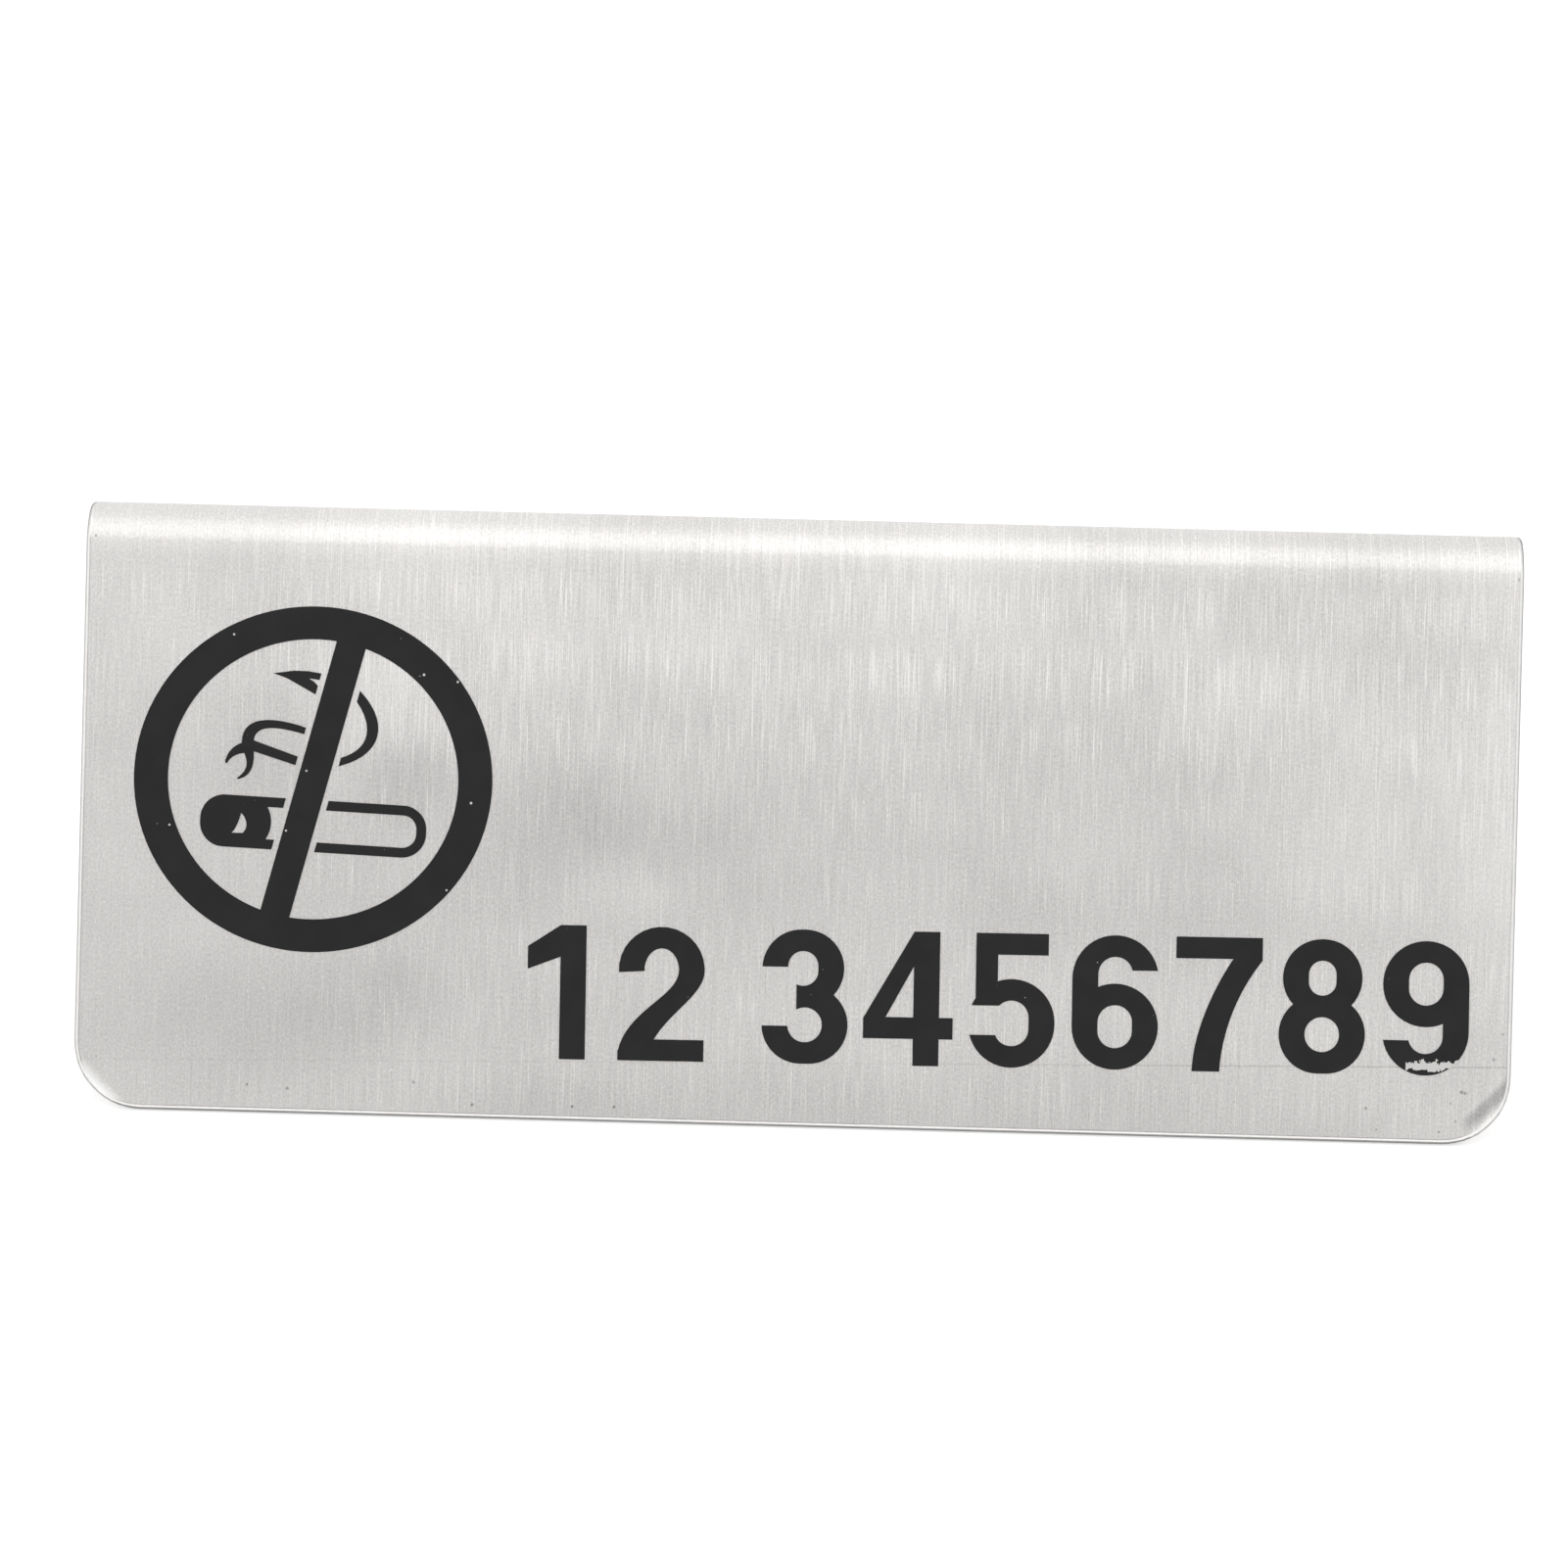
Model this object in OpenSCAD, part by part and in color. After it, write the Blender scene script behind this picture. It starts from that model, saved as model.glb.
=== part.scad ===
// Double-sided table sign: one sheet of brushed steel folded over into an upside-down V,
// with the same print on both legs.
// X runs along the fold, the front leg faces -Y, +Z is up. The origin lies on the table,
// midway between the two legs and halfway along the sign.

/* [Sheet] */
// Width of the sign along its fold
sign_w = 120; // [100:1:200]
// Flat length of each leg, from the end of the fold to the cut edge
leg_len = 47.6; // [39:0.1:80]
// Thickness of the sheet
sheet_t = 1; // [0.6:0.1:1.5]
// Radius inside the fold
bend_r = 2.2; // [1:0.1:5]
// Lean of each leg from the vertical, in degrees
lean = 22; // [12:0.1:35]
// Radius of the lower corners, seen square on to the leg
corner_r = 5.7; // [2:0.1:10]
// Rounding of the cut edges, which two fifths of the thickness limit
edge_r = 0.4; // [0.1:0.05:0.6]

/* [Symbol] */
// Width of the ring, over its outside
ring_w = 30; // [20:0.5:36]
// Height of the print for each unit of its width
print_squash = 0.963; // [0.9:0.001:1]
// Width of the ring's band
ring_band = 2.85; // [1.5:0.05:4]
// From the sign's left edge to the ring's centre
ring_x = 19.5; // [18:0.1:30]
// From the end of the fold down to the ring's centre
ring_drop = 19.65; // [18:0.05:24]
// Width of the bar across the ring
bar_w = 2.5; // [1.5:0.1:4]
// Lean of the bar from upright, in degrees
bar_lean = 14.5; // [5:0.5:45]
// Bare gap on each side of the bar, where it crosses the figure
bar_gap = 0.5; // [0.2:0.05:1]

/* [Cigarette] */
// Length over the ends
cigarette_len = 18.95; // [12:0.05:20]
// Height over the outlines
cigarette_h = 4.35; // [3:0.05:6]
// Width of the drawn line
cigarette_line = 0.82; // [0.5:0.02:1]
// Radius of the corners
cigarette_r = 2; // [1.4:0.05:2.1]
// Length of the solid end
ember_len = 5.95; // [5:0.05:7]
// Radius of the solid end's bulging face
ember_bulge = 2.6; // [2.2:0.1:6]
// From the lit end to the flame left bare in it
flame_x = 3.4; // [2:0.1:3.6]
// Clockwise tilt, in degrees
cigarette_tilt = 2.1; // [0:0.1:5]
// From the ring's centre down to the middle of the cigarette
cigarette_drop = 3.9; // [3:0.1:5]
// From the ring's centre right to the middle of the cigarette
cigarette_shift = 0.1; // [-0.5:0.1:0.5]

/* [Numerals] */
// From the ring to the first numeral
numeral_start = 2.4; // [1:0.1:6]
// From the last numeral to the sign's right edge
numeral_margin = 3.6; // [2:0.1:10]
// From the cut edge up to the foot of the first numeral
numeral_up = 5.1; // [4.5:0.1:12]
// Rise of the line of numerals, in degrees
numeral_rise = 0.45; // [0:0.05:1]
// Height of a numeral for each unit of its width
numeral_aspect = 1.56; // [1.2:0.01:1.8]
// Width of its upright strokes for each unit of its width
numeral_weight = 0.3; // [0.2:0.01:0.33]
// Height of its level strokes for each unit of its width
numeral_level = 0.25; // [0.18:0.01:0.3]
// Space between numerals for each unit of their width
numeral_space = 0.2; // [0.1:0.01:0.4]
// Space between the two groups for each unit of a numeral's width
group_space = 0.67; // [0.4:0.01:1]

/* [Ink] */
// Thickness of the print
ink_t = 0.05; // [0.03:0.01:0.1]

/* [Hidden] */
$fn = 180;
STEEL = [0.78, 0.77, 0.75];
INK = [0.18, 0.18, 0.2];

sheet_out = bend_r + sheet_t;
edge = min(edge_r, 0.4 * sheet_t);
// Height of the fold's centre, so that the rounded inner edges of both legs touch the table
fold_z = (leg_len - edge) * cos(lean) - (bend_r + edge) * sin(lean) + edge;

// Degrees that each half of the fold runs past the crown, before both are cut there
FOLD_OVERLAP = 8;

bar_len = ring_w - ring_band;
// The cigarette and smoke are drawn for a ring with this opening, and grow with it
FIGURE_OPENING = 24.3;

// The numerals fill the line between the ring and the right margin
FIRST_GROUP = [1, 2];
SECOND_GROUP = [3, 4, 5, 6, 7, 8, 9];
numeral_left = ring_x + ring_w / 2 + numeral_start;
numeral_count = len(FIRST_GROUP) + len(SECOND_GROUP);
line_units = numeral_count + (numeral_count - 2) * numeral_space + group_space;
numeral_w = (sign_w - numeral_margin - numeral_left) / line_units;
numeral_h = numeral_aspect * numeral_w;
numeral_s = numeral_weight * numeral_w;
numeral_t = numeral_level * numeral_w;
numeral_pitch = (1 + numeral_space) * numeral_w;
group_pitch = (len(FIRST_GROUP) - 1) * numeral_pitch + (1 + group_space) * numeral_w;

// Points along a cubic curve from p[0] to p[3]
CURVE_STEPS = 16;
function curve(p) = [for (i = [0:CURVE_STEPS])
    let (t = i / CURVE_STEPS)
    pow(1 - t, 3) * p[0] + 3 * pow(1 - t, 2) * t * p[1] + 3 * (1 - t) * t * t * p[2] + t * t * t * p[3]];

// Points along an arc about a centre, with half-width rx and half-height ry
function arc(centre, rx, ry, angles) = [for (i = [0:CURVE_STEPS])
    let (a = angles[0] + (angles[1] - angles[0]) * i / CURVE_STEPS)
    centre + [rx * cos(a), ry * sin(a)]];

// Rectangle from the origin with round corners, or with round ends where r is half a side
module rounded(w, h, r) {
    if (w > 2 * r) translate([r, 0]) square([w - 2 * r, h]);
    if (h > 2 * r) translate([0, r]) square([w, h - 2 * r]);
    for (x = [r, w - r], y = [r, h - r])
        translate([x, y]) circle(r);
}

// Section through the sheet from x = 0 to a cut edge at x = reach
module rim_section(reach) {
    square([reach - edge, sheet_t]);
    translate([0, edge]) square([reach, sheet_t - 2 * edge]);
    for (y = [edge, sheet_t - edge])
        translate([reach - edge, y]) circle(edge);
}

// Puts a shape drawn flat, x along the sign and y up from the cut edge, on the front leg
// at a distance from the fold's centre
module on_front(distance) {
    translate([0, 0, fold_z])
        rotate([90 - lean, 0, 0])
            translate([0, -leg_len, distance])
                children();
}

// Half of the fold and a little more, as it grows out of the top of a flat-lying leg
module half_fold() {
    translate([0, leg_len, -bend_r])
        rotate([0, -90, 0])
            rotate_extrude(angle = 90 - lean + FOLD_OVERLAP, start = 0)
                translate([bend_r, -sign_w / 2])
                    rounded(sheet_t, sign_w, edge);
}

module leg() {
    // From the fold down to the corners
    translate([-sign_w / 2, leg_len, 0])
        rotate([90, 0, 0])
            linear_extrude(leg_len - corner_r)
                rounded(sign_w, sheet_t, edge);
    // Lower edge between the corners
    translate([0, corner_r, 0])
        rotate([90, 0, -90])
            linear_extrude(sign_w - 2 * corner_r, center = true)
                rim_section(corner_r);
    for (side = [-1, 1])
        translate([side * (sign_w / 2 - corner_r), corner_r, 0])
            rotate_extrude(angle = 90, start = side < 0 ? 180 : 270)
                rim_section(corner_r);
}

// The front leg and the fold as far as its crown
module front_half() {
    intersection() {
        on_front(bend_r)
            union() {
                leg();
                half_fold();
            }
        translate([-sign_w, -2 * leg_len, -leg_len])
            cube([2 * sign_w, 2 * leg_len, 3 * leg_len]);
    }
}

module folded_sheet() {
    color(STEEL)
        union() {
            front_half();
            rotate([0, 0, 180]) front_half();
        }
}

// Band of the bar, wider by extra on each side
module bar(extra) {
    rotate(-bar_lean) square([bar_w + 2 * extra, bar_len], center = true);
}

module ring_and_bar() {
    difference() {
        scale([1, print_squash]) circle(d = ring_w);
        scale([1, print_squash]) circle(d = ring_w - 2 * ring_band);
    }
    intersection() {
        bar(0);
        scale([1, print_squash]) circle(d = bar_len);
    }
}

// Inside of the outline, up to the solid end
module cigarette_paper() {
    difference() {
        translate([cigarette_line, cigarette_line])
            rounded(cigarette_len - 2 * cigarette_line, cigarette_h - 2 * cigarette_line,
                    cigarette_r - cigarette_line);
        square([ember_len - ember_bulge, cigarette_h]);
        translate([ember_len - ember_bulge, cigarette_h / 2]) circle(ember_bulge);
    }
}

module cigarette() {
    translate([cigarette_shift, -cigarette_drop])
        rotate(-cigarette_tilt)
            translate([-cigarette_len / 2, -cigarette_h / 2])
                difference() {
                    rounded(cigarette_len, cigarette_h, cigarette_r);
                    cigarette_paper();
                    translate([flame_x, cigarette_h / 2]) flame();
                }
}

// Small bare flame in the solid end
module flame() {
    polygon(concat(
        curve([[0.02, 0.7], [0.65, 0.15], [0.6, -0.6], [0.2, -0.95]]),
        curve([[-0.72, -0.98], [-0.4, -0.7], [-0.15, 0], [-0.02, 0.68]])));
}

// Swallow-tailed end of the smoke, left of the bar
module smoke_tip() {
    polygon([[-3.5, 8.78], [-1.8, 9.04], [-0.6, 9.02], [1.3, 8.72], [1.2, 8.2], [-0.53, 8.42],
             [0, 8.05], [0.65, 7.3], [0.3, 6.95], [-2.36, 8.38]]);
}

// Bow to the right of the bar
module smoke_bow() {
    polygon(concat(
        curve([[3.3, 7.9], [6.5, 5.1], [6, 1.9], [1.5, 1]]),
        curve([[1.4, 1.65], [5.15, 2.3], [5.1, 4.9], [2.9, 7.3]])));
}

// Loop to the left of the bar, with a straight run back to it
module smoke_loop() {
    polygon(concat(
        curve([[0.4, 3.9], [-2.6, 5.1], [-6.1, 5.6], [-6.05, 2.9]]),
        [[-5.7, 2.1], [-4.97, 2.2], [-0.2, 0.75], [0, 1.42]],
        curve([[-5.04, 3.13], [-4.9, 4.7], [-2.6, 4.3], [0.2, 3.45]])));
}

// The two trailing points under the loop
module smoke_tails() {
    polygon(concat(
        curve([[-5.6, 3], [-6.75, 2.85], [-7.35, 1.9], [-7.4, 1.25]]),
        curve([[-7.25, 1.15], [-6.95, 1.7], [-6.5, 1.98], [-5.8, 2.05]]),
        curve([[-5.75, 1.9], [-5.5, 1.3], [-5.45, 0.6], [-6.36, -0.03]]),
        curve([[-6.3, -0.15], [-5.3, 0.1], [-4.85, 0.8], [-5.05, 2.6]])));
}

module symbol_print() {
    translate([ring_x - sign_w / 2, leg_len - ring_drop]) {
        ring_and_bar();
        difference() {
            scale((ring_w - 2 * ring_band) / FIGURE_OPENING) {
                cigarette();
                smoke_tip();
                smoke_bow();
                smoke_loop();
                smoke_tails();
            }
            bar(bar_gap);
        }
    }
}

// Closed band with round ends
module loop_stroke(w, h) {
    hole_w = w - 2 * numeral_s;
    hole_h = h - 2 * numeral_t;
    difference() {
        rounded(w, h, min(w, h) / 2);
        translate([numeral_s, numeral_t])
            rounded(hole_w, hole_h, min(hole_w, hole_h) / 2);
    }
}

module numeral_one() {
    stem_x = 0.52 * numeral_w;
    flag_x = 0.14 * numeral_w;
    translate([stem_x, 0]) square([numeral_s, numeral_h]);
    polygon([[stem_x + numeral_s / 2, numeral_h], [stem_x, numeral_h], [flag_x, 0.84 * numeral_h],
             [flag_x, 0.67 * numeral_h], [stem_x + numeral_s / 2, 0.8 * numeral_h]]);
}

module numeral_two() {
    half_w = numeral_w / 2;
    bend_y = numeral_h - half_w;
    polygon(concat(
        arc([half_w, bend_y], half_w, half_w, [184, 4]),
        curve([[numeral_w, bend_y], [numeral_w, 0.5 * numeral_h],
               [0.62 * numeral_w, 0.38 * numeral_h], [0.42 * numeral_w, numeral_t]]),
        [[numeral_w, numeral_t], [numeral_w, 0], [0, 0]],
        curve([[0, 0.4 * numeral_t], [0.1 * numeral_w, 0.38 * numeral_h],
               [numeral_w - numeral_s, 0.48 * numeral_h], [numeral_w - numeral_s, bend_y]]),
        arc([half_w, bend_y], half_w - numeral_s, half_w - numeral_t, [6, 184])));
}

module numeral_three() {
    bowl_h = (numeral_h + numeral_t) / 2;
    end_y = 0.28 * numeral_h;
    difference() {
        union() {
            loop_stroke(numeral_w, bowl_h);
            translate([0, numeral_h - bowl_h]) loop_stroke(0.95 * numeral_w, bowl_h);
        }
        translate([-1, end_y]) square([0.4 * numeral_w + 1, numeral_h - 2 * end_y]);
    }
}

module numeral_four() {
    stem_x = 0.56 * numeral_w;
    bar_y = 0.2 * numeral_h;
    difference() {
        polygon([[stem_x + numeral_s, 0], [stem_x + numeral_s, numeral_h], [stem_x, numeral_h],
                 [-0.02 * numeral_w, bar_y + 0.95 * numeral_t], [-0.02 * numeral_w, bar_y],
                 [stem_x, bar_y], [stem_x, 0]]);
        polygon([[stem_x, bar_y + numeral_t], [stem_x, 0.74 * numeral_h],
                 [0.24 * numeral_w, bar_y + numeral_t]]);
    }
    translate([stem_x, bar_y]) square([1.02 * numeral_w - stem_x, numeral_t]);
}

module numeral_five() {
    bowl_h = 0.66 * numeral_h;
    stem_x = 0.08 * numeral_w;
    difference() {
        union() {
            loop_stroke(numeral_w, bowl_h);
            translate([stem_x, 0.46 * numeral_h]) square([0.85 * numeral_s, 0.54 * numeral_h]);
        }
        translate([-1, 0.24 * numeral_h]) square([0.36 * numeral_w + 1, 0.22 * numeral_h]);
    }
    translate([stem_x, numeral_h - numeral_t]) square([0.84 * numeral_w, numeral_t]);
}

module numeral_six() {
    bowl_h = 0.64 * numeral_h;
    loop_stroke(numeral_w, bowl_h);
    difference() {
        loop_stroke(numeral_w, numeral_h);
        translate([numeral_w / 2, bowl_h / 2])
            square([numeral_w, 0.74 * numeral_h - bowl_h / 2]);
    }
}

module numeral_seven() {
    polygon(concat(
        [[0, numeral_h - numeral_t], [0, numeral_h], [numeral_w, numeral_h]],
        curve([[numeral_w, 0.83 * numeral_h], [0.72 * numeral_w, 0.6 * numeral_h],
               [0.54 * numeral_w, 0.3 * numeral_h], [0.52 * numeral_w, 0]]),
        curve([[0.2 * numeral_w, 0], [0.21 * numeral_w, 0.28 * numeral_h],
               [0.42 * numeral_w, 0.6 * numeral_h], [0.66 * numeral_w, numeral_h - numeral_t]])));
}

module numeral_eight() {
    bowl_h = (numeral_h + numeral_t) / 2;
    loop_stroke(numeral_w, bowl_h);
    translate([0.04 * numeral_w, numeral_h - bowl_h]) loop_stroke(0.92 * numeral_w, bowl_h);
}

module numeral_nine() {
    translate([numeral_w, numeral_h]) rotate(180) numeral_six();
}

module numeral(value) {
    if (value == 1) numeral_one();
    if (value == 2) numeral_two();
    if (value == 3) numeral_three();
    if (value == 4) numeral_four();
    if (value == 5) numeral_five();
    if (value == 6) numeral_six();
    if (value == 7) numeral_seven();
    if (value == 8) numeral_eight();
    if (value == 9) numeral_nine();
}

module numeral_print() {
    translate([numeral_left - sign_w / 2, numeral_up])
        rotate(numeral_rise) {
            for (i = [0:len(FIRST_GROUP) - 1])
                translate([i * numeral_pitch, 0]) numeral(FIRST_GROUP[i]);
            for (i = [0:len(SECOND_GROUP) - 1])
                translate([group_pitch + i * numeral_pitch, 0]) numeral(SECOND_GROUP[i]);
        }
}

module front_symbol() {
    color(INK)
        on_front(sheet_out) linear_extrude(ink_t) symbol_print();
}

module front_numerals() {
    color(INK)
        on_front(sheet_out) linear_extrude(ink_t) numeral_print();
}

module rear_symbol() {
    rotate([0, 0, 180]) front_symbol();
}

module rear_numerals() {
    rotate([0, 0, 180]) front_numerals();
}

folded_sheet();
front_symbol();
front_numerals();
rear_symbol();
rear_numerals();
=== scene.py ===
# Double-sided table sign: a brushed steel sheet folded over into a tent, with its print.
import math

import bmesh
import bpy
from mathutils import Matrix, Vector


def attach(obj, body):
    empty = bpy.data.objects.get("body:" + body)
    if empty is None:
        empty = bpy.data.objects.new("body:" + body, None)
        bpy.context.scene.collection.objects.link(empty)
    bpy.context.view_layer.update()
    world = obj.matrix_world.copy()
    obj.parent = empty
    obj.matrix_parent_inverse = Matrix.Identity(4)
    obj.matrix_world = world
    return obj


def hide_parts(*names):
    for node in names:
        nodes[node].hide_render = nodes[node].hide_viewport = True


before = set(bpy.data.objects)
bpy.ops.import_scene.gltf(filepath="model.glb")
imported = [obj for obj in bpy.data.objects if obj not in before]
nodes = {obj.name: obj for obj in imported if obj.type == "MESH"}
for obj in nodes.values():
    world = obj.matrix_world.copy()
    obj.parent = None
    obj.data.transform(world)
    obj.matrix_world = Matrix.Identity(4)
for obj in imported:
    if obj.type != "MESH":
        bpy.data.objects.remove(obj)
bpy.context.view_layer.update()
print("frame loaded:", sorted(nodes))

samePlace = 1e-6  # metres; points closer than this count as being on one line


def mm(value):
    return value / 1000


def deselectAll():
    if bpy.context.object and bpy.context.object.mode != "OBJECT":
        bpy.ops.object.mode_set(mode="OBJECT")
    bpy.ops.object.select_all(action="DESELECT")


# the sheet as it is cut, in millimetres and degrees
blank = {
    "width": 120,
    "legLength": 47.6,
    "thickness": 1.0,
    "insideRadius": 2.2,
    "lean": 22,
    "foldHeight": 43.1891,
    "cornerRadius": 5.7,
    "cornerSteps": 14,
    "edgeRound": 0.42,
    "edgeSteps": 4,
    "edgeAngle": 55,  # edges that turn more than this are rounded
    "foldSteps": 34,
    "endDraw": 0.04,  # how far the ends of the fold are drawn in by the bending
    "endDrawSpread": 0.7,  # below 1, more of the bend is drawn in nearly as far as its middle
    "curlDepths": (0.25, 0.45, 0.65, 0.85, 1.05),  # where a corner tip curls, in from its round
    "curlTurn": 4.2,
    "evenWeight": 50,
}


def foldMiddle():
    # the fold's radius half way through the sheet
    return blank["insideRadius"] + blank["thickness"] / 2


def foldTurn():
    return 180 - 2 * blank["lean"]


def foldRun():
    return foldMiddle() * math.radians(foldTurn())


def flatLength():
    return blank["legLength"] * 2 + foldRun()


def bendLine(step):
    return mm(blank["legLength"] + foldRun() * step / blank["foldSteps"])


def selectByPlace(sign, test):
    mesh = bmesh.from_edit_mesh(sign.data)
    mesh.select_mode = {"VERT"}
    for vert in mesh.verts:
        vert.select = test(vert)
    mesh.select_flush_mode()
    bmesh.update_edit_mesh(sign.data)


def turnSelected(degrees, pivot, axis="X"):
    # with no window the operator turns the other way, so the angle goes in with its sign changed
    bpy.ops.transform.rotate(value=-math.radians(degrees), orient_axis=axis, center_override=pivot)


def cutBlank():
    deselectAll()
    bpy.ops.mesh.primitive_plane_add(size=1, location=(0, 0, 0))
    sign = bpy.context.object
    sign.name = "foldedSheet"
    bpy.ops.object.mode_set(mode="EDIT")
    bpy.ops.mesh.select_mode(type="VERT")
    bpy.ops.mesh.select_all(action="SELECT")
    bpy.ops.transform.resize(
        value=(mm(blank["width"]), mm(flatLength()), 1), center_override=(0, 0, 0))
    bpy.ops.transform.translate(value=(0, mm(flatLength()) / 2, 0))
    bpy.ops.mesh.bevel(
        offset=mm(blank["cornerRadius"]), offset_type="OFFSET", segments=blank["cornerSteps"],
        profile=0.5, affect="VERTICES", clamp_overlap=False)
    for step in range(blank["foldSteps"] + 1):
        bpy.ops.mesh.select_all(action="SELECT")
        bpy.ops.mesh.bisect(plane_co=(0, bendLine(step), 0), plane_no=(0, 1, 0))
    bpy.ops.object.mode_set(mode="OBJECT")
    print("blank cut:", len(sign.data.vertices), "points")
    return sign


def laySurfaceMap(sign):
    # the map holds each point's place on the flat sheet, so the brushing runs on over the fold
    layer = sign.data.uv_layers.active or sign.data.uv_layers.new(name="flatSheet")
    layer.name = "flatSheet"
    for loop in sign.data.loops:
        place = sign.data.vertices[loop.vertex_index].co
        layer.data[loop.index].uv = (
            place.x / mm(blank["width"]) + 0.5, place.y / mm(flatLength()))


def foldSheet(sign, flat):
    last = blank["foldSteps"]
    for step in range(1, last):
        line = bendLine(step)
        drawn = blank["endDraw"] * math.sin(math.pi * step / last) ** blank["endDrawSpread"]
        selectByPlace(sign, lambda v: abs(flat[v.index].y - line) < samePlace)
        bpy.ops.transform.resize(
            value=(1 - 2 * drawn / blank["width"], 1, 1), center_override=(0, line, 0))
    for step in range(last, -1, -1):
        line = bendLine(step)
        turn = foldTurn() / last * (0.5 if step in (0, last) else 1)
        selectByPlace(sign, lambda v: flat[v.index].y > line + samePlace)
        turnSelected(-turn, (0, line, 0))


def frontFoot():
    # the middle of the front cut end of the standing sheet
    lean = math.radians(blank["lean"])
    return Vector((
        0,
        mm(-foldMiddle() * math.cos(lean) - blank["legLength"] * math.sin(lean)),
        mm(blank["foldHeight"] + foldMiddle() * math.sin(lean) - blank["legLength"] * math.cos(lean))))


def standUp(sign):
    selectByPlace(sign, lambda v: True)
    turnSelected(90 - blank["lean"], (0, 0, 0))
    bpy.ops.transform.translate(value=frontFoot())


def thickenSheet(sign):
    # the sheet's materials are, in order, its outside, its inside, its cut face and its rolled edge
    wall = sign.modifiers.new("wall", "SOLIDIFY")
    wall.thickness, wall.offset, wall.use_even_offset = mm(blank["thickness"]), 0, True
    wall.material_offset, wall.material_offset_rim = 1, 2
    rounding = sign.modifiers.new("rolledEdge", "BEVEL")
    rounding.width, rounding.segments = mm(blank["edgeRound"]), blank["edgeSteps"]
    rounding.limit_method, rounding.angle_limit = "ANGLE", math.radians(blank["edgeAngle"])
    rounding.use_clamp_overlap, rounding.material = False, 3
    for name in ("wall", "rolledEdge"):
        bpy.ops.object.modifier_apply(modifier=name)


def curlTip(sign, corner, lay, turn):
    # the leg is laid level with the tip's chord along X, the tip is curled there and all goes back
    selectByPlace(sign, lambda v: True)
    turnSelected(lay, corner)
    turnSelected(turn, corner, "Z")
    roundDepth = blank["cornerRadius"] * (math.sqrt(2) - 1)
    reaches = [mm(roundDepth + depth) for depth in blank["curlDepths"]]
    for reach in reaches:
        bpy.ops.mesh.select_all(action="SELECT")
        bpy.ops.mesh.bisect(
            plane_co=corner + Vector((0, reach, 0)), plane_no=(0, 1, 0), threshold=samePlace)
    mesh = bmesh.from_edit_mesh(sign.data)
    mesh.verts.index_update()
    laid = [vert.co.y - corner.y for vert in mesh.verts]
    for reach in reaches:
        selectByPlace(sign, lambda v: laid[v.index] < reach - samePlace)
        turnSelected(blank["curlTurn"], corner + Vector((0, reach, 0)))
    selectByPlace(sign, lambda v: True)
    turnSelected(-turn, corner, "Z")
    turnSelected(-lay, corner)


def curlCorners(sign):
    bpy.ops.object.mode_set(mode="EDIT")
    foot = frontFoot()
    for across in (-1, 1):
        for leg in (1, -1):
            corner = Vector((across * mm(blank["width"]) / 2, leg * foot.y, foot.z))
            curlTip(sign, corner, leg * (blank["lean"] - 90), 90 - leg * (90 + across * 45))
    bpy.ops.object.mode_set(mode="OBJECT")


def evenShading(sign):
    evening = sign.modifiers.new("evenShading", "WEIGHTED_NORMAL")
    evening.weight = blank["evenWeight"]
    bpy.ops.object.modifier_apply(modifier="evenShading")


def makeFoldedSheet(materials):
    sign = cutBlank()
    laySurfaceMap(sign)
    flat = [vert.co.copy() for vert in sign.data.vertices]
    bpy.ops.object.mode_set(mode="EDIT")
    foldSheet(sign, flat)
    standUp(sign)
    bpy.ops.object.mode_set(mode="OBJECT")
    for material in materials:
        sign.data.materials.append(material)
    bpy.ops.object.shade_smooth()
    thickenSheet(sign)
    curlCorners(sign)
    evenShading(sign)
    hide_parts("folded_sheet")
    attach(sign, "root")
    low, high = [
        [round(pick(v.co[i] for v in sign.data.vertices) * 1000, 3) for i in range(3)]
        for pick in (min, max)]
    print("sheet folded:", low, high, len(sign.data.polygons), "faces")


# short helpers that lay out the materials' nodes
def clearedTree(owner):
    owner.use_nodes = True
    owner.node_tree.nodes.clear()
    return owner.node_tree


def newMaterial(name):
    material = bpy.data.materials.new(name)
    tree = clearedTree(material)
    output = tree.nodes.new("ShaderNodeOutputMaterial")
    shader = tree.nodes.new("ShaderNodeBsdfPrincipled")
    tree.links.new(shader.outputs["BSDF"], output.inputs["Surface"])
    return material, tree, shader


def feed(tree, socket, value):
    if isinstance(value, bpy.types.NodeSocket):
        tree.links.new(value, socket)
    else:
        socket.default_value = value


def sums(tree, operation, first, second=0.0, third=None, clamp=False):
    node = tree.nodes.new("ShaderNodeMath")
    node.operation, node.use_clamp = operation, clamp
    feed(tree, node.inputs[0], first)
    feed(tree, node.inputs[1], second)
    if third is not None:
        feed(tree, node.inputs[2], third)
    return node.outputs[0]


def vectorSums(tree, operation, first, second=None):
    node = tree.nodes.new("ShaderNodeVectorMath")
    node.operation = operation
    feed(tree, node.inputs[0], first)
    if second is not None:
        feed(tree, node.inputs["Scale" if operation == "SCALE" else 1], second)
    givesNumber = operation in ("DISTANCE", "LENGTH", "DOT_PRODUCT")
    return node.outputs["Value" if givesNumber else "Vector"]


def awayFrom(tree, value, middle):
    return sums(tree, "ABSOLUTE", sums(tree, "SUBTRACT", value, middle))


def placed(tree, vector, scale=(1, 1, 1), turn=(0, 0, 0), shift=(0, 0, 0)):
    node = tree.nodes.new("ShaderNodeMapping")
    feed(tree, node.inputs["Vector"], vector)
    node.inputs["Scale"].default_value = scale
    node.inputs["Rotation"].default_value = [math.radians(a) for a in turn]
    node.inputs["Location"].default_value = shift
    return node.outputs["Vector"]


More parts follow.
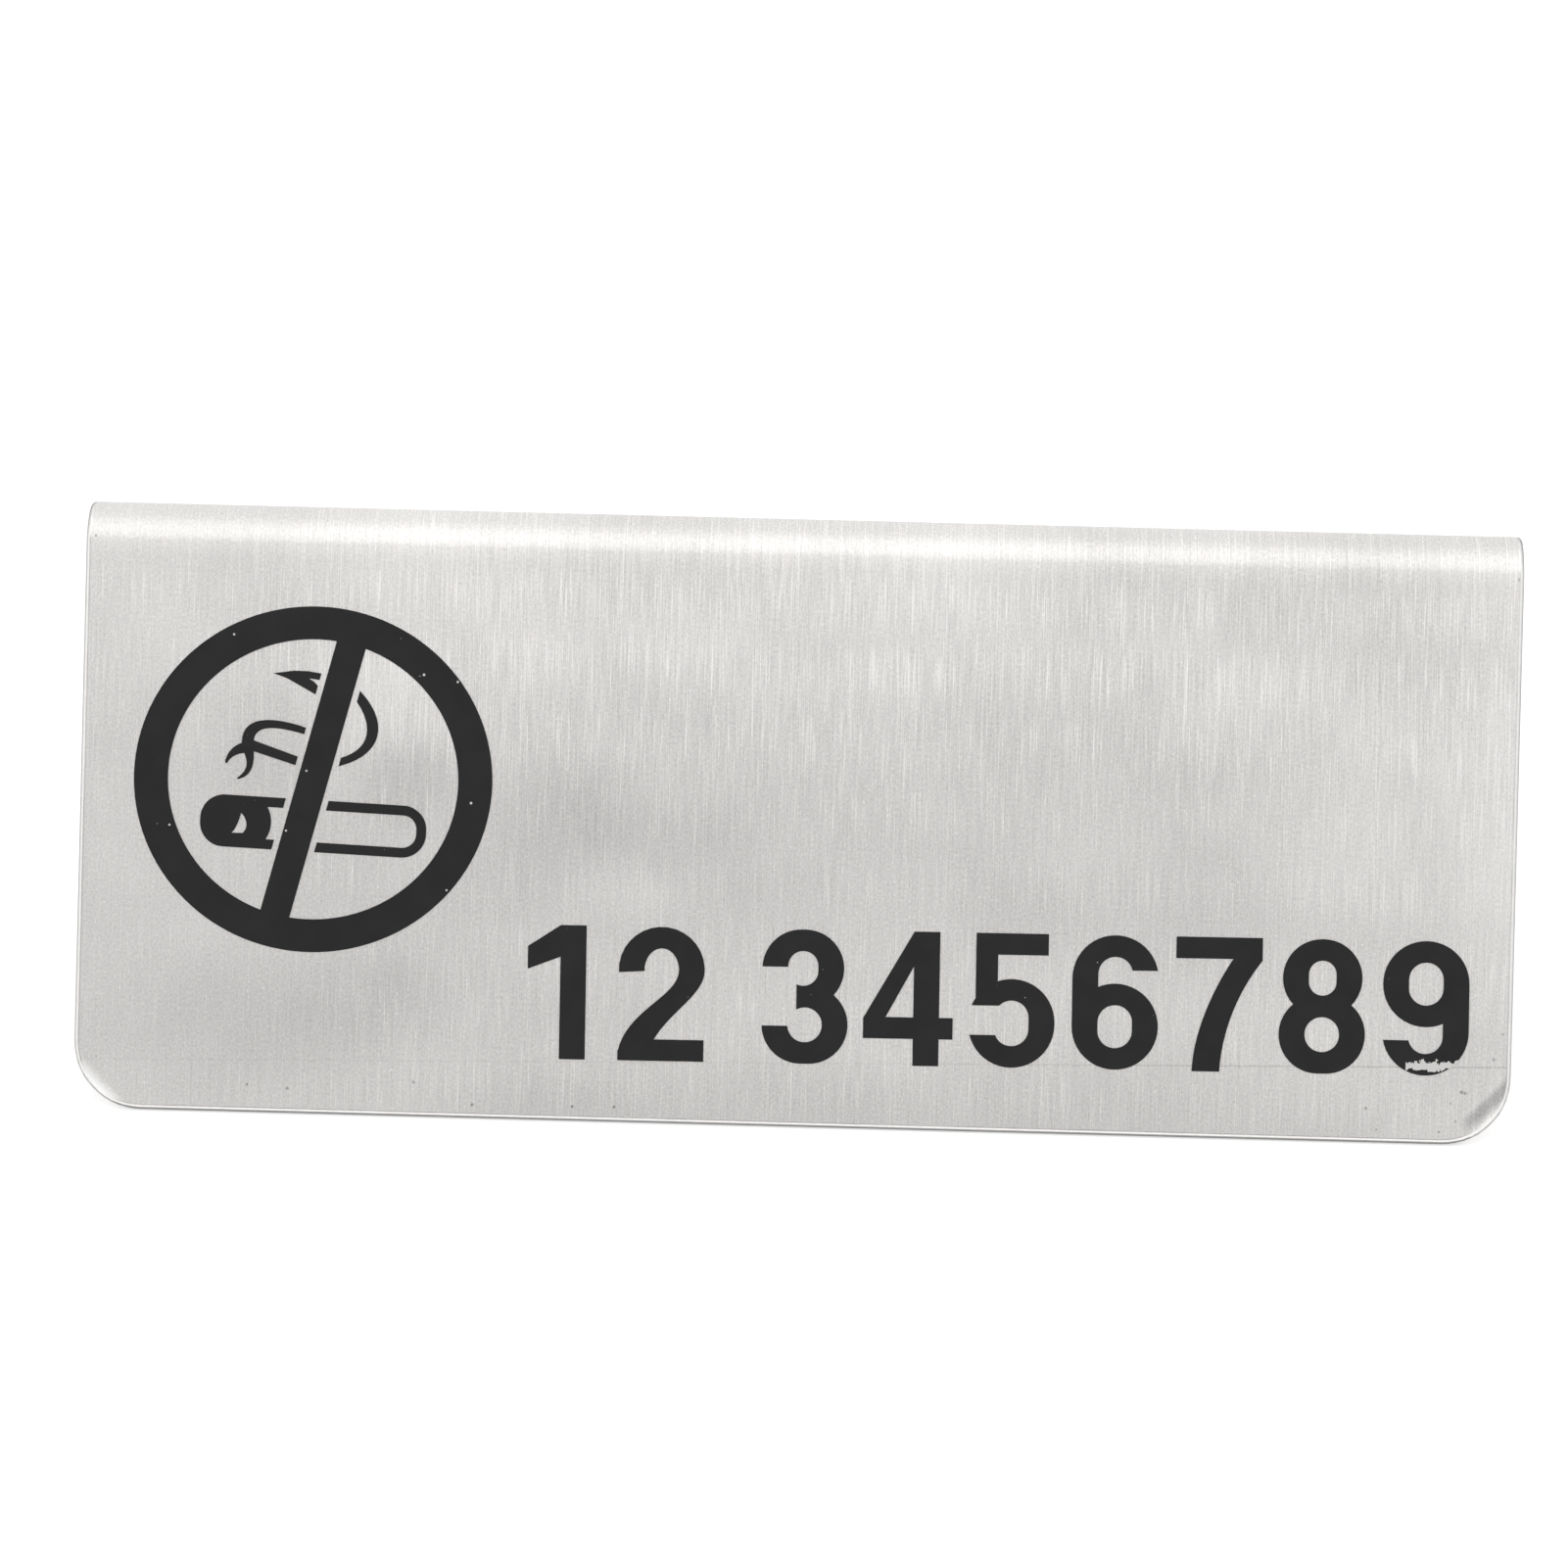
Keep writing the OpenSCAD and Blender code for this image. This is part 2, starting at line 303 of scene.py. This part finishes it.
def noise(tree, vector, stretch, detail=2.0, roughness=0.5):
    node = tree.nodes.new("ShaderNodeTexNoise")
    feed(tree, node.inputs["Vector"], placed(tree, vector, scale=stretch))
    node.inputs["Scale"].default_value = 1.0
    node.inputs["Detail"].default_value = detail
    node.inputs["Roughness"].default_value = roughness
    return node.outputs["Fac"]


def ranged(tree, value, low, high, toLow=0.0, toHigh=1.0, smooth=False):
    node = tree.nodes.new("ShaderNodeMapRange")
    node.interpolation_type = "SMOOTHSTEP" if smooth else "LINEAR"
    feed(tree, node.inputs["Value"], value)
    for name, number in (("From Min", low), ("From Max", high), ("To Min", toLow), ("To Max", toHigh)):
        feed(tree, node.inputs[name], number)
    return node.outputs["Result"]


def fading(tree, value, full, gone):
    return ranged(tree, value, full, gone, 1, 0, True)


def apart(tree, vector):
    node = tree.nodes.new("ShaderNodeSeparateXYZ")
    feed(tree, node.inputs[0], vector)
    return node.outputs


def blendColours(tree, factor, first, second):
    node = tree.nodes.new("ShaderNodeMix")
    node.data_type = "RGBA"
    feed(tree, node.inputs[0], factor)
    for place, colour in ((6, first), (7, second)):
        isLinked = isinstance(colour, bpy.types.NodeSocket)
        feed(tree, node.inputs[place], colour if isLinked else (*colour, 1))
    return node.outputs[2]


def dots(tree, vector, spots, softness=0.35):
    # one mask for a list of small round marks, each given as its place and radius
    mask = 0.0
    for across, up, radius in spots:
        distance = vectorSums(tree, "DISTANCE", vector, (across, up, 0))
        mark = fading(tree, distance, radius * (1 - softness), radius * (1 + softness))
        mask = sums(tree, "MAXIMUM", mark, mask)
    return mask


def bumped(tree, height, depth, normal=None):
    node = tree.nodes.new("ShaderNodeBump")
    node.inputs["Strength"].default_value = 1.0
    node.inputs["Distance"].default_value = depth
    feed(tree, node.inputs["Height"], height)
    if normal is not None:
        feed(tree, node.inputs["Normal"], normal)
    return node.outputs["Normal"]


# brushed stainless steel; places are millimetres from the left end and up from the front cut edge
steel = {
    "colour": (0.785, 0.769, 0.753),
    "roughness": 0.53,
    "roughnessSpread": 0.12,
    "anisotropy": 0.3,
    "hairContrast": 0.36,
    "cloudContrast": 0.14,
    "grainContrast": 0.34,
    "fineHairs": {"stretch": (12, 0.22, 1), "detail": 4, "roughness": 0.66},
    "longHairs": {"stretch": (5.5, 0.07, 1), "detail": 3, "roughness": 0.65},
    "hairShares": (0.7, 0.3),
    "brightHairs": ((9.5, 0.17, 0.20), (6.5, 0.12, 0.11)),  # across, along, amount
    "brightFrom": (0.59, 0.72),
    "clouds": {"stretch": (0.05, 0.07, 1), "detail": 2},
    "grain": {"stretch": (5.5, 3.8, 1), "detail": 3, "roughness": 0.75},
    "specks": {"stretch": (5.5, 5.5, 1), "detail": 1},
    "speckFrom": (0.66, 0.76),
    "speckTone": 0.24,
    "clearAcross": (5, 32, 0.5, 1.0),  # how plain the hairlines are: from, to, and the two levels
    "clearUp": (22, 38, 0.8, 1.4),
    "clearNearFold": (44, 50, 1.0, 0.6),
    "bow": 0.035,  # how far the shading leans up towards the fold; the legs themselves are flat
    "bowWide": (20, 46, 1),  # from, to and how much of it
    "bowClose": (46, 48, 2.2),
    "hairDepth": 0.0000016,
    "pitTone": -0.42,
    "pitHeight": -3.0,
    "pits": [
        (1.90, 4.35, 0.07), (14.59, 2.32, 0.11), (17.96, 2.09, 0.13), (28.52, 2.86, 0.12),
        (33.48, 1.12, 0.14), (41.84, 1.18, 0.12), (45.35, 1.27, 0.12), (46.31, 5.39, 0.14),
        (118.5, 7.18, 0.13), (115.9, 4.40, 0.15), (116.2, 4.30, 0.13), (115.47, 1.95, 0.10),
        (114.11, 1.02, 0.11), (115.02, 3.41, 0.08), (108.0, 2.85, 0.12), (108.9, 1.10, 0.09),
        (119.2, 9.3, 0.10), (119.61, 47.15, 0.16), (0.8, 47.8, 0.10),
    ],
    "patchFade": (0.1, 1.0),
    "patches": [  # painted reflection and shade, soft darker and brighter places: across, up, reach across, reach up, amount
        (41.0, 24.8, 11, 8, -0.15), (16.0, 30.0, 8, 7, -0.10), (14.0, 8.5, 14, 7, -0.07),
        (35.0, 20.5, 8, 6, -0.07), (25.0, 36.5, 8, 7, 0.07), (49.0, 23.5, 8, 6, -0.06),
        (73.5, 41.5, 20, 8, 0.025), (37.0, 39.0, 7, 8, 0.05), (106.0, 25.0, 9, 9, 0.05),
        (122.0, 24.0, 12, 30, 0.09), (119.0, 23.0, 6, 10, 0.05), (2.0, 1.0, 12, 6, 0.05),
        (72.0, 27.0, 50, 11, -0.05), (72.0, -1.0, 58, 9, -0.085), (45.0, 48.0, 34, 8, 0.03),
        (87.0, 38.0, 8, 5, -0.03), (50.0, 40.5, 9, 6, 0.07), (92.0, 46.0, 22, 8, -0.05),
        (100.0, 40.5, 13, 6, -0.03), (70.0, 17.0, 58, 8, -0.035), (38.0, 1.0, 10, 5, -0.06),
        (27.5, 28.0, 7, 6, -0.13), (23.5, 10.0, 10, 7, -0.10),
    ],
    "streakTone": 0.14,
    "streakCore": 0.6,  # the share of a streak's half length that is at full strength
    "streaks": [  # place across, lower end, upper end, half width
        (92.99, 42.2, 47.1, 0.07), (98.45, 32.1, 38.4, 0.06), (106.67, 33.9, 36.7, 0.06),
        (92.03, 32.3, 36.5, 0.06), (103.73, 34.9, 36.4, 0.07),
    ],
    # painted highlight and shade in bands across the front corners: how far in, half width, amount, and
    # where they fade out
    "leftTip": [(2.45, 1.30, 0.48, 6)],
    "rightTip": [(3.72, 0.75, -0.34, 2.2), (2.72, 0.40, 0.16, 3)],
    "tipCore": 0.2,
    "tipFade": 1.8,
    "toolMark": {
        "left": 13.6, "up": 4.35, "rise": 0.0206, "halfWidth": (0.02, 0.11),
        "clear": (60, 112, 0.25, 1.0), "tone": -0.20, "height": -1.5,
    },
}


def steelCoordinates(tree):
    node = tree.nodes.new("ShaderNodeUVMap")
    node.uv_map = "flatSheet"
    return placed(tree, node.outputs["UV"], scale=(blank["width"], flatLength(), 1))


def hairlines(tree, place):
    fineShare, longShare = steel["hairShares"]
    long = sums(tree, "MULTIPLY", noise(tree, place, **steel["longHairs"]), longShare)
    return sums(tree, "MULTIPLY_ADD", noise(tree, place, **steel["fineHairs"]), fineShare, long)


def hairClearness(tree, across, up):
    # the lines show most in the upper middle, and about half as much near the left end
    clearness = sums(
        tree, "MULTIPLY",
        ranged(tree, across, *steel["clearAcross"], True), ranged(tree, up, *steel["clearUp"], True))
    return sums(tree, "MULTIPLY", clearness, ranged(tree, up, *steel["clearNearFold"], True))


def brushedTone(tree, place, across, up, centred):
    clearness = hairClearness(tree, across, up)
    factor = sums(
        tree, "MULTIPLY_ADD", sums(tree, "MULTIPLY", centred, clearness), steel["hairContrast"] * 2, 1.0)
    cloud = sums(tree, "SUBTRACT", noise(tree, place, **steel["clouds"]), 0.5)
    factor = sums(tree, "MULTIPLY_ADD", cloud, steel["cloudContrast"] * 2, factor)
    for width, length, amount in steel["brightHairs"]:
        bright = ranged(tree, noise(tree, place, (width, length, 1), detail=1), *steel["brightFrom"])
        factor = sums(tree, "MULTIPLY_ADD", sums(tree, "MULTIPLY", bright, clearness), amount, factor)
    specks = ranged(tree, noise(tree, place, **steel["specks"]), *steel["speckFrom"])
    factor = sums(tree, "MULTIPLY_ADD", specks, steel["speckTone"], factor)
    grain = sums(tree, "SUBTRACT", noise(tree, place, **steel["grain"]), 0.5)
    return sums(tree, "MULTIPLY_ADD", grain, steel["grainContrast"] * 2, factor)


# painted reflection and shade: soft lighter and darker areas in the colour, with a darker band along the
# bottom
def paintedReflections(tree, vector, factor):
    for across, up, reachAcross, reachUp, amount in steel["patches"]:
        near = placed(
            tree, vector, scale=(1 / reachAcross, 1 / reachUp, 0),
            shift=(-across / reachAcross, -up / reachUp, 0))
        soft = fading(tree, vectorSums(tree, "LENGTH", near), *steel["patchFade"])
        factor = sums(tree, "MULTIPLY_ADD", soft, amount, factor)
    return factor


def towardsFold(tree, up, low, high, amount):
    # rises between two places on the front leg, and falls between the same two on the rear leg
    rising = ranged(tree, up, low, high, 0, amount, True)
    return sums(tree, "MULTIPLY", rising, fading(tree, up, flatLength() - high, flatLength() - low))


def bowed(tree, up):
    # near the fold the shading leans up a little, so the light from above spreads down over the leg
    surface = tree.nodes.new("ShaderNodeNewGeometry").outputs["Normal"]
    wide, close = [towardsFold(tree, up, *steel[name]) for name in ("bowWide", "bowClose")]
    rise = sums(tree, "MULTIPLY", sums(tree, "ADD", wide, close), steel["bow"])
    leaned = vectorSums(tree, "ADD", surface, vectorSums(tree, "SCALE", (0, 0, 1), rise))
    return vectorSums(tree, "NORMALIZE", leaned)


def paintedTipLightAndShade(tree, across, up, factor):
    # painted highlight on the left curled tip, and painted shade in a trough behind the right one with a
    # thin painted highlight beside it
    fromRight = sums(tree, "SUBTRACT", blank["width"], across)
    for fromSide, bands in ((across, steel["leftTip"]), (fromRight, steel["rightTip"])):
        inward = sums(tree, "MULTIPLY", sums(tree, "ADD", fromSide, up), math.sqrt(0.5))
        along = sums(tree, "MULTIPLY", sums(tree, "SUBTRACT", fromSide, up), math.sqrt(0.5))
        for middle, half, amount, end in bands:
            band = fading(tree, awayFrom(tree, inward, middle), half * steel["tipCore"], half)
            ending = fading(tree, along, end - steel["tipFade"], end)
            factor = sums(
                tree, "MULTIPLY_ADD", sums(tree, "MULTIPLY", band, ending), amount, factor)
    return factor


def streaked(tree, across, up, factor):
    for place, low, high, half in steel["streaks"]:
        beside = ranged(tree, awayFrom(tree, across, place), 0, half * 2, 1, 0)
        middle, reach = (low + high) / 2, (high - low) / 2
        along = fading(tree, awayFrom(tree, up, middle), reach * steel["streakCore"], reach)
        streak = sums(tree, "MULTIPLY", beside, along)
        factor = sums(tree, "MULTIPLY_ADD", streak, steel["streakTone"], factor)
    return factor


def scoredLine(tree, across, up):
    tool = steel["toolMark"]
    line = sums(tree, "MULTIPLY_ADD", across, tool["rise"], tool["up"] - tool["left"] * tool["rise"])
    scored = fading(tree, awayFrom(tree, up, line), *tool["halfWidth"])
    return sums(tree, "MULTIPLY", scored, ranged(tree, across, *tool["clear"], True))


def makeSteel(name, outside):
    material, tree, shader = newMaterial(name)
    place = steelCoordinates(tree)
    across, up = apart(tree, place)[0:2]
    centred = sums(tree, "SUBTRACT", hairlines(tree, place), 0.5)
    factor = brushedTone(tree, place, across, up, centred)
    height, normal = centred, None
    if outside:
        # painted reflection and shade in soft patches
        factor = paintedReflections(tree, place, factor)
        normal = bowed(tree, up)
        pits = dots(tree, place, steel["pits"])
        factor = sums(tree, "MULTIPLY_ADD", pits, steel["pitTone"], factor)
        height = sums(tree, "MULTIPLY_ADD", pits, steel["pitHeight"], height)
        # painted highlight and shade on the curled front tips
        factor = paintedTipLightAndShade(tree, across, up, factor)
        factor = streaked(tree, across, up, factor)
        scored = scoredLine(tree, across, up)
        factor = sums(tree, "MULTIPLY_ADD", scored, steel["toolMark"]["tone"], factor)
        height = sums(tree, "MULTIPLY_ADD", scored, steel["toolMark"]["height"], height)
    roughness = sums(
        tree, "MULTIPLY_ADD", centred, steel["roughnessSpread"], steel["roughness"])
    feed(tree, shader.inputs["Base Color"], vectorSums(tree, "SCALE", steel["colour"], factor))
    shader.inputs["Metallic"].default_value = 1.0
    shader.inputs["Anisotropic"].default_value = steel["anisotropy"]
    feed(tree, shader.inputs["Roughness"], roughness)
    feed(tree, shader.inputs["Normal"], bumped(tree, height, steel["hairDepth"], normal))
    tangent = tree.nodes.new("ShaderNodeTangent")
    tangent.direction_type, tangent.uv_map = "UV_MAP", "flatSheet"
    tree.links.new(tangent.outputs["Tangent"], shader.inputs["Tangent"])
    return material


# the cut edge and the burnished rounding beside it
cutEdge = {
    "cutFace": (0.52, 0.51, 0.50),
    "rounding": (0.87, 0.86, 0.845),
    "roughness": 0.33,
    "roughnessSpread": 0.16,
    "rimTint": 0.35,
    "grainDepth": 0.000003,
    "sheared": {"stretch": (2.5, 2.5, 2.5), "detail": 3},
    "worn": {"stretch": (0.3, 0.3, 0.3), "detail": 2},
    "plainTone": 0.84,
    "shearedTone": 0.20,
    "wornTone": 0.12,
    # painted shade: edges facing down are darkened like a reflection of the shaded floor at the foot,
    # and edges facing sideways are darkened too
    "footShade": 0.62,
    "footFrom": (-0.06, -0.34),  # how far down the surface faces
    "footSideways": (0.25, 0.60, 1, 0.25),  # the foot's painted shade thins out on the two ends
    "sideShade": 0.38,
    "sideFrom": (0.25, 0.85),
}


def makeCutEdge(name, colour):
    material, tree, shader = newMaterial(name)
    coordinates = tree.nodes.new("ShaderNodeTexCoord")
    place = placed(tree, coordinates.outputs["Object"], scale=(1000, 1000, 1000))
    sheared = noise(tree, place, **cutEdge["sheared"])
    worn = noise(tree, place, **cutEdge["worn"])
    factor = sums(tree, "MULTIPLY_ADD", sheared, cutEdge["shearedTone"], cutEdge["plainTone"])
    factor = sums(tree, "MULTIPLY_ADD", worn, cutEdge["wornTone"], factor)
    surface = apart(tree, tree.nodes.new("ShaderNodeNewGeometry").outputs["Normal"])
    sideways, upwards = sums(tree, "ABSOLUTE", surface[0]), surface[2]
    # painted shade on the edges that face down and sideways
    foot = ranged(tree, upwards, *cutEdge["footFrom"], 0, cutEdge["footShade"], True)
    foot = sums(tree, "MULTIPLY", foot, ranged(tree, sideways, *cutEdge["footSideways"], True))
    side = ranged(tree, sideways, *cutEdge["sideFrom"], 0, cutEdge["sideShade"], True)
    unshaded = sums(tree, "SUBTRACT", 1.0, sums(tree, "ADD", foot, side))
    factor = sums(tree, "MULTIPLY", factor, unshaded)
    smoothest = cutEdge["roughness"] - cutEdge["roughnessSpread"] / 2
    roughness = sums(tree, "MULTIPLY_ADD", worn, cutEdge["roughnessSpread"], smoothest)
    feed(tree, shader.inputs["Base Color"], vectorSums(tree, "SCALE", colour, factor))
    shader.inputs["Metallic"].default_value = 1.0
    shader.inputs["Specular Tint"].default_value = (cutEdge["rimTint"],) * 3 + (1,)
    feed(tree, shader.inputs["Roughness"], roughness)
    feed(tree, shader.inputs["Normal"], bumped(tree, sheared, cutEdge["grainDepth"]))
    return material


# screen-printed ink: near black with a slight sheen, a few pinholes, and a chipped strip in front
ink = {
    "colour": (0.0113, 0.0111, 0.0120),
    "roughness": 0.5,
    "roughnessSpread": 0.14,
    "specular": 0.32,
    "skinDepth": 0.000006,
    "bareHeight": -3.0,
    "skin": {"stretch": (6, 6, 0.01), "detail": 3, "roughness": 0.65},
    "patches": {"stretch": (0.35, 0.35, 0.01), "detail": 2},
    "patchTone": (0.9, 0.55),  # spread and lowest level
    "tiny": {"stretch": (4.2, 4.2, 0.01), "detail": 0},
    "tinyFrom": (0.88, 0.92),
    "tinyDepth": 0.8,
    "pinholes": [
        (28.56, 36.92, 0.10), (32.76, 26.31, 0.10), (18.93, 28.65, 0.08),
        (17.34, 23.61, 0.08), (7.57, 23.85, 0.08), (30.9, 18.98, 0.08),
        (13.1, 41.1, 0.09), (12.6, 39.9, 0.09), (31.4, 36.4, 0.09),
    ],
    "chip": {
        "left": 111.2, "right": 116.1, "up": 6.48, "half": 0.36, "raggedness": 1.8,
        "edge": {"stretch": (2.6, 1.2, 0.01), "detail": 3, "roughness": 0.7},
    },
}


def legCoordinates(tree, rear):
    # millimetres from the left end and up from the cut edge, on the leg that carries the print
    coordinates = tree.nodes.new("ShaderNodeTexCoord")
    side = -1000 if rear else 1000
    lean = math.radians(blank["lean"])
    rise = blank["legLength"] - blank["foldHeight"] * math.cos(lean)
    return placed(
        tree, coordinates.outputs["Object"], scale=(side, side, 1000),
        turn=(blank["lean"] - 90, 0, 0), shift=(blank["width"] / 2, rise, 0))


def chippedStrip(tree, place):
    chip = ink["chip"]
    across, up = apart(tree, place)[0:2]
    ragged = sums(tree, "SUBTRACT", noise(tree, place, **chip["edge"]), 0.5)
    reach = sums(tree, "MULTIPLY_ADD", ragged, chip["raggedness"], chip["half"])
    inStrip = sums(tree, "LESS_THAN", awayFrom(tree, up, chip["up"]), reach)
    middle, half = (chip["left"] + chip["right"]) / 2, (chip["right"] - chip["left"]) / 2
    inRun = sums(tree, "LESS_THAN", awayFrom(tree, across, middle), half)
    return sums(tree, "MULTIPLY", inStrip, inRun)


def makeInk(name, rear):
    material, tree, shader = newMaterial(name)
    place = legCoordinates(tree, rear)
    skin = noise(tree, place, **ink["skin"])
    patches = noise(tree, place, **ink["patches"])
    tiny = ranged(tree, noise(tree, place, **ink["tiny"]), *ink["tinyFrom"])
    bare = sums(tree, "MULTIPLY", tiny, ink["tinyDepth"])
    if not rear:
        flatPlace = placed(tree, place, scale=(1, 1, 0))
        bare = sums(tree, "MAXIMUM", bare, dots(tree, flatPlace, ink["pinholes"]))
        bare = sums(tree, "MAXIMUM", bare, chippedStrip(tree, place))
    tone = sums(tree, "MULTIPLY_ADD", patches, *ink["patchTone"])
    dark = vectorSums(tree, "SCALE", ink["colour"], tone)
    smoothest = ink["roughness"] - ink["roughnessSpread"] / 2
    roughness = sums(tree, "MULTIPLY_ADD", skin, ink["roughnessSpread"], smoothest)
    shader.inputs["Specular IOR Level"].default_value = ink["specular"]
    feed(tree, shader.inputs["Base Color"], blendColours(tree, bare, dark, steel["colour"]))
    feed(tree, shader.inputs["Metallic"], bare)
    feed(tree, shader.inputs["Roughness"], roughness)
    height = sums(tree, "MULTIPLY_ADD", bare, ink["bareHeight"], skin)
    feed(tree, shader.inputs["Normal"], bumped(tree, height, ink["skinDepth"]))
    return material


def finishPrint():
    for side, rear in (("front", False), ("rear", True)):
        material = makeInk(side + "Ink", rear)
        for part in ("symbol", "numerals"):
            node = nodes[side + "_" + part]
            for slot in node.material_slots:
                slot.material = material
    print("print finished:", ink["colour"])


# sizes and places in metres, power in watts
studio = {
    "roomLevel": 0.62,
    "frontShade": {"towards": (-0.06, -0.99, 0.10), "level": 0.10, "from": 0.68, "to": 0.975},
    "floorSize": 6,
    "floorColour": 0.86,
    "floorGlow": 0.50,
}
softboxes = {
    "overhead": {"place": (0.0, -0.33, 0.85), "size": (0.9, 0.70), "power": 1.19},
    "behind": {"place": (0.0, 0.95, 0.50), "size": (1.4, 0.7), "power": 0.2},
    "frontFill": {"place": (0.0, -0.88, 0.68), "size": (1.2, 0.42), "power": 1.20},
    "left": {"place": (-0.95, -0.25, 0.30), "size": (0.8, 0.55), "power": 0.55},
    "right": {"place": (0.95, -0.25, 0.30), "size": (0.8, 0.55), "power": 0.25},
}


def anyRay(tree, *kinds):
    path = tree.nodes.new("ShaderNodeLightPath")
    seen = path.outputs[kinds[0]]
    for kind in kinds[1:]:
        seen = sums(tree, "ADD", seen, path.outputs[kind], clamp=True)
    return seen


def makeFloor():
    deselectAll()
    bpy.ops.mesh.primitive_plane_add(size=studio["floorSize"], location=(0, 0, 0))
    floor = bpy.context.object
    floor.name = "studioFloor"
    material = bpy.data.materials.new("studioFloor")
    tree = clearedTree(material)
    output = tree.nodes.new("ShaderNodeOutputMaterial")
    paint = tree.nodes.new("ShaderNodeBsdfDiffuse")
    paint.inputs["Color"].default_value = (studio["floorColour"],) * 3 + (1,)
    glow = tree.nodes.new("ShaderNodeEmission")
    seen = anyRay(tree, "Is Camera Ray", "Is Glossy Ray", "Is Transmission Ray")
    feed(tree, glow.inputs["Strength"], sums(tree, "MULTIPLY", seen, studio["floorGlow"]))
    both = tree.nodes.new("ShaderNodeAddShader")
    tree.links.new(paint.outputs[0], both.inputs[0])
    tree.links.new(glow.outputs[0], both.inputs[1])
    tree.links.new(both.outputs[0], output.inputs["Surface"])
    floor.data.materials.append(material)


def roomLight(tree, level):
    node = tree.nodes.new("ShaderNodeBackground")
    node.inputs["Color"].default_value = (1, 1, 1, 1)
    feed(tree, node.inputs["Strength"], level)
    return node.outputs[0]


def mirroredLevel(tree):
    # the room that the metal mirrors is white, and darker in front, where a photographer stands
    shade = studio["frontShade"]
    coordinates = tree.nodes.new("ShaderNodeTexCoord")
    facing = vectorSums(
        tree, "DOT_PRODUCT", coordinates.outputs["Generated"], Vector(shade["towards"]).normalized())
    return ranged(tree, facing, shade["from"], shade["to"], 1.0, shade["level"])


def makeWorld():
    world = bpy.data.worlds.new("studioRoom")
    bpy.context.scene.world = world
    tree = clearedTree(world)
    output = tree.nodes.new("ShaderNodeOutputWorld")
    mirrored = anyRay(tree, "Is Glossy Ray")
    seen = anyRay(tree, "Is Camera Ray", "Is Transmission Ray")
    mixed = roomLight(tree, studio["roomLevel"])
    for rays, level in ((mirrored, mirroredLevel(tree)), (seen, 1.0)):
        chosen = tree.nodes.new("ShaderNodeMixShader")
        feed(tree, chosen.inputs[0], rays)
        tree.links.new(mixed, chosen.inputs[1])
        tree.links.new(roomLight(tree, level), chosen.inputs[2])
        mixed = chosen.outputs[0]
    tree.links.new(mixed, output.inputs["Surface"])


def makeLamps():
    for name, settings in softboxes.items():
        deselectAll()
        bpy.ops.object.light_add(type="AREA", location=settings["place"])
        lamp = bpy.context.object
        lamp.name = name + "Softbox"
        lamp.data.shape = "RECTANGLE"
        lamp.data.size, lamp.data.size_y = settings["size"]
        lamp.data.energy = settings["power"]
        lamp.rotation_euler = (-Vector(settings["place"])).to_track_quat("-Z", "Y").to_euler()
        lamp.visible_camera = False


# the viewing angle of the photograph: place in millimetres, turn in degrees, limits in metres
photoCamera = {
    "place": (9.218, -472.491, 219.508),
    "turn": (67.3732, -0.9198, 1.6681),
    "lens": 137.93,
    "sensor": 36,
    "limits": (0.01, 20),
}


def makeCamera():
    deselectAll()
    bpy.ops.object.camera_add(
        location=[mm(value) for value in photoCamera["place"]],
        rotation=[math.radians(a) for a in photoCamera["turn"]])
    camera = bpy.context.object
    camera.name = "photoCamera"
    camera.data.lens = photoCamera["lens"]
    camera.data.sensor_width = photoCamera["sensor"]
    camera.data.clip_start, camera.data.clip_end = photoCamera["limits"]
    bpy.context.scene.camera = camera


makeFoldedSheet([
    makeSteel("brushedSteel", True), makeSteel("brushedSteelInside", False),
    makeCutEdge("cutFace", cutEdge["cutFace"]), makeCutEdge("rolledEdge", cutEdge["rounding"])])
finishPrint()
makeFloor()
makeWorld()
makeLamps()
makeCamera()
bpy.context.scene.view_settings.view_transform = "Standard"
print("studio ready")
